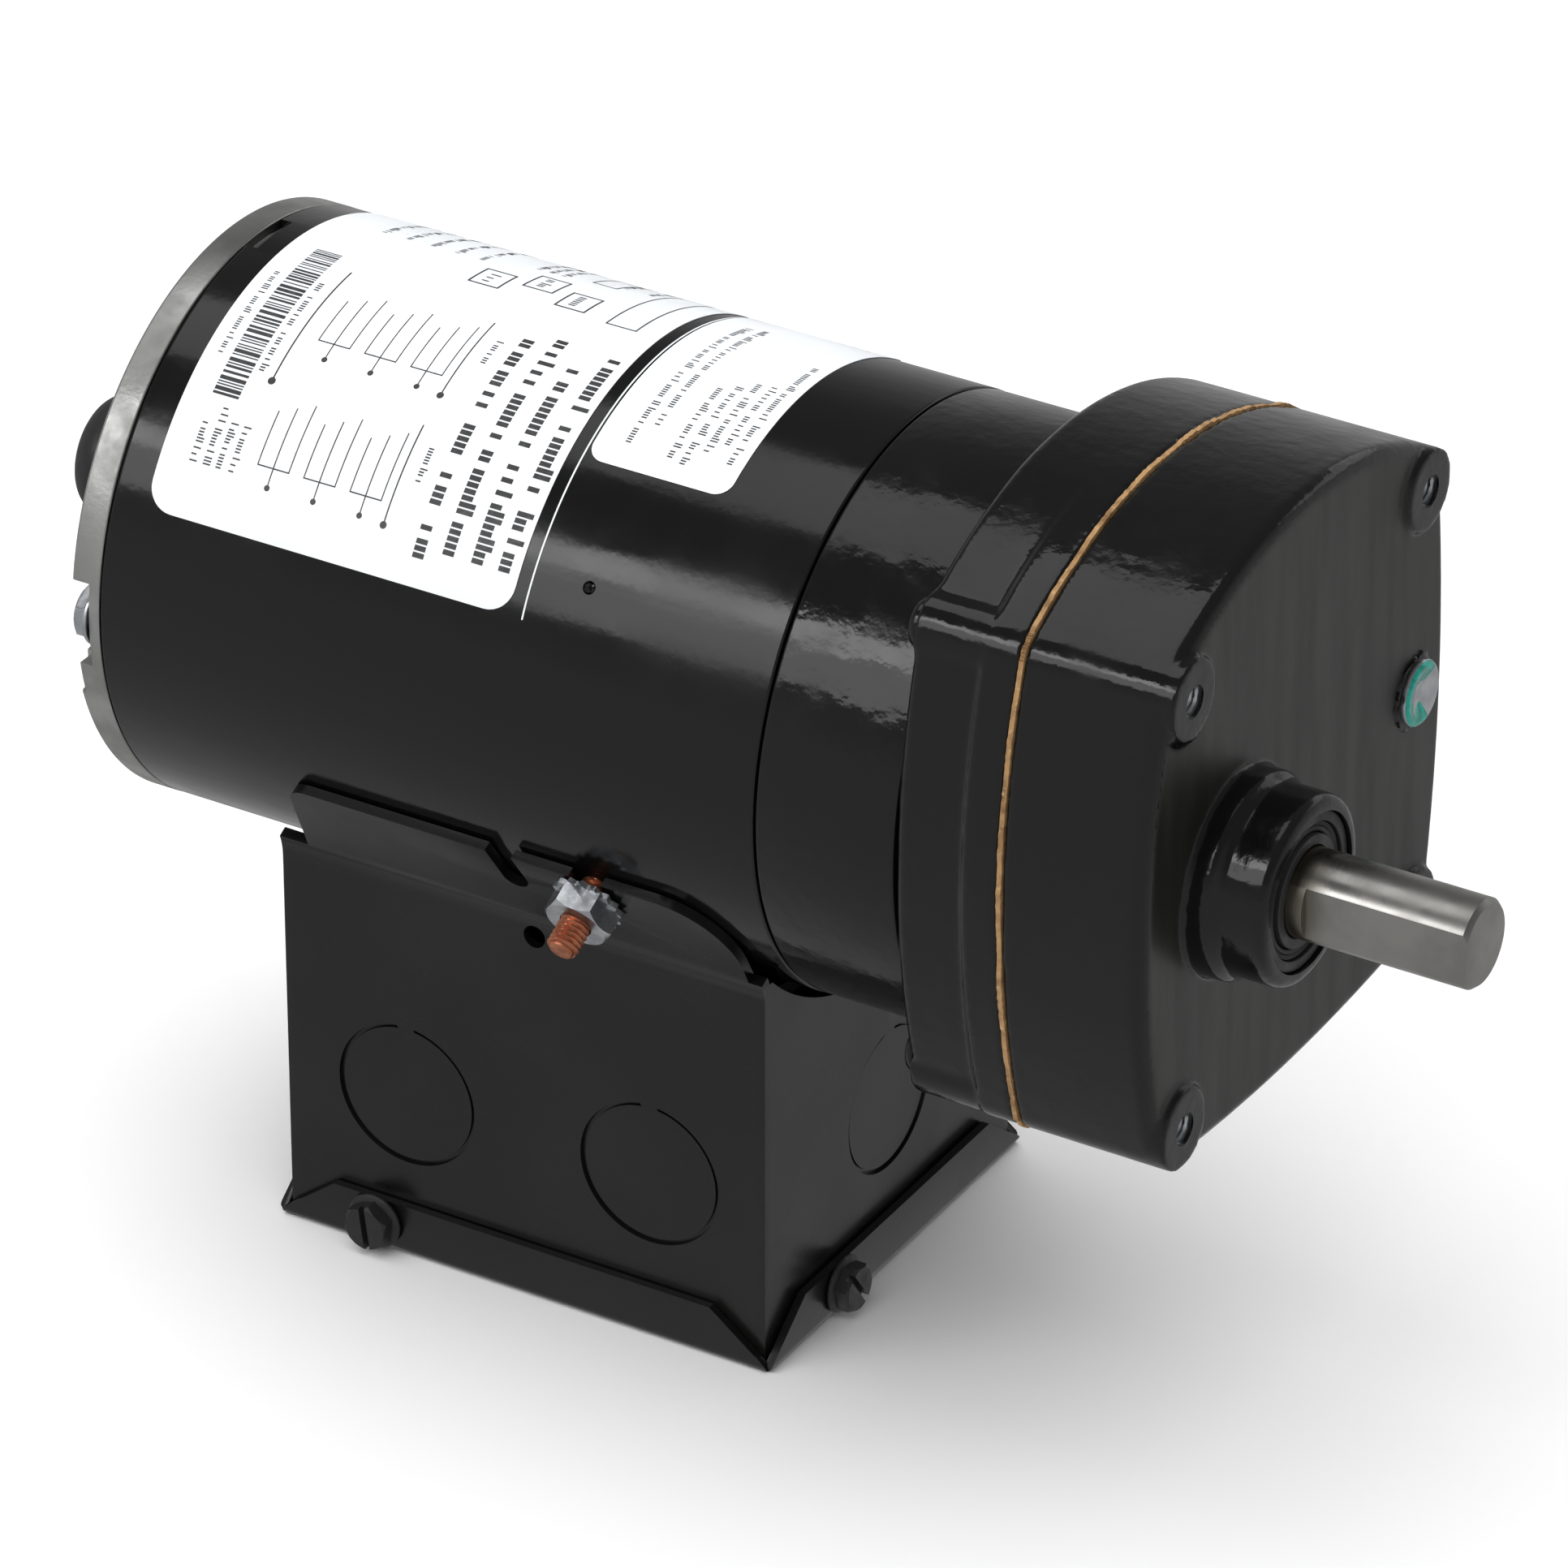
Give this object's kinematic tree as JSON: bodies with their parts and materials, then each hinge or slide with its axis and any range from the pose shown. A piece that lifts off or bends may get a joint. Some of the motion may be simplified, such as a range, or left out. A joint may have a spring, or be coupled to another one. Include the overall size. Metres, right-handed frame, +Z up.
{
  "type": "parallel-shaft gearmotor",
  "caption": "Round AC motor with a spur gearbox on its front, an offset D-shaft out of a round boss, tapped mounting pads at the corners and a sheet-metal conduit box underneath.",
  "frame": {"origin": "Centre of the conduit cover's flat underside", "axes": "+X along the shafts towards the output shaft, +Z up from the cover through the motor axis, 93 mm above; the output shaft is offset towards -Y"},
  "size_m": [0.2318, 0.089, 0.1413],
  "materials": {
    "casting_paint": "glossy black enamel with orange peel and runs",
    "shell_paint": "glossy black enamel",
    "box_paint": "satin black baked enamel",
    "cast_aluminium": "bare satin casting",
    "lamination": "stacked dark steel edges",
    "ground_steel": "ground, with a thin film of oil",
    "gear_steel": "hobbed teeth, oiled",
    "zinc_plate": "bright zinc plate",
    "black_screw": "black oxide",
    "bronze": "sintered bronze, dull",
    "copper": "copper coloured",
    "black_rubber": "matt",
    "gasket_fibre": "compressed fibre sheet",
    "lead_white": "insulation",
    "lead_black": "insulation",
    "lead_red": "insulation"
  },
  "bodies": {
    "root": {"gear_housing_rear": "casting_paint", "gear_housing_front": "casting_paint", "front_end_shield": "casting_paint", "motor_shell": "shell_paint", "conduit_box": "box_paint", "conduit_cover": "box_paint", "rear_end_shield": "cast_aluminium", "run_capacitor": "cast_aluminium", "oil_plug": "cast_aluminium", "stator_core": "lamination", "output_bearing_outer": "ground_steel", "ground_nut": "zinc_plate", "through_bolt_1": "zinc_plate", "through_bolt_2": "zinc_plate", "cover_screw_1": "black_screw", "cover_screw_2": "black_screw", "cover_screw_3": "black_screw", "cover_screw_4": "black_screw", "housing_screw_1": "black_screw", "housing_screw_2": "black_screw", "housing_screw_3": "black_screw", "housing_screw_4": "black_screw", "stage1_bushing_rear": "bronze", "stage1_bushing_front": "bronze", "stage2_bushing_rear": "bronze", "stage2_bushing_front": "bronze", "output_bushing_rear": "bronze", "motor_bearing_front": "bronze", "motor_bearing_rear": "bronze", "ground_screw": "copper", "winding_front": "copper", "winding_rear": "copper", "rear_cap": "black_rubber", "output_seal": "black_rubber", "rotor_oil_seal": "black_rubber", "lead_grommet": "black_rubber", "housing_gasket": "gasket_fibre", "thrust_washer_front": "gasket_fibre", "thrust_washer_rear": "gasket_fibre", "lead_white": "lead_white", "lead_black": "lead_black", "lead_red": "lead_red"},
    "rotor": {"rotor_core": "cast_aluminium", "rotor_shaft": "ground_steel"},
    "first_cluster": {"stage1_gear": "gear_steel", "stage1_pinion_shaft": "gear_steel"},
    "second_cluster": {"stage2_gear": "gear_steel", "stage2_pinion_shaft": "gear_steel"},
    "output": {"output_gear": "gear_steel", "output_shaft": "ground_steel", "output_bearing_inner": "ground_steel"},
    "ball_cage": {"output_bearing_balls": "ground_steel"}
  },
  "joints": [
    {"name": "rotor_spin", "type": "hinge", "parent": "root", "child": "rotor", "pos_m": [0.08, 0, 0.093], "axis": [1, 0, 0], "continuous": true},
    {"name": "first_cluster_spin", "type": "hinge", "parent": "root", "child": "first_cluster", "pos_m": [0.08, 0.01406, 0.11044], "axis": [1, 0, 0], "continuous": true},
    {"name": "second_cluster_spin", "type": "hinge", "parent": "root", "child": "second_cluster", "pos_m": [0.08, -0.00806, 0.11656], "axis": [1, 0, 0], "continuous": true},
    {"name": "output_spin", "type": "hinge", "parent": "root", "child": "output", "pos_m": [0.08, -0.01905, 0.093], "axis": [1, 0, 0], "continuous": true},
    {"name": "ball_cage_spin", "type": "hinge", "parent": "root", "child": "ball_cage", "pos_m": [0.08, -0.01905, 0.093], "axis": [1, 0, 0], "continuous": true}
  ],
  "couplings": [
    {"joint": "first_cluster_spin", "follows": "rotor_spin", "ratio": -0.23077},
    {"joint": "second_cluster_spin", "follows": "rotor_spin", "ratio": 0.065934},
    {"joint": "output_spin", "follows": "rotor_spin", "ratio": -0.01978},
    {"joint": "ball_cage_spin", "follows": "rotor_spin", "ratio": -0.0088285}
  ]
}
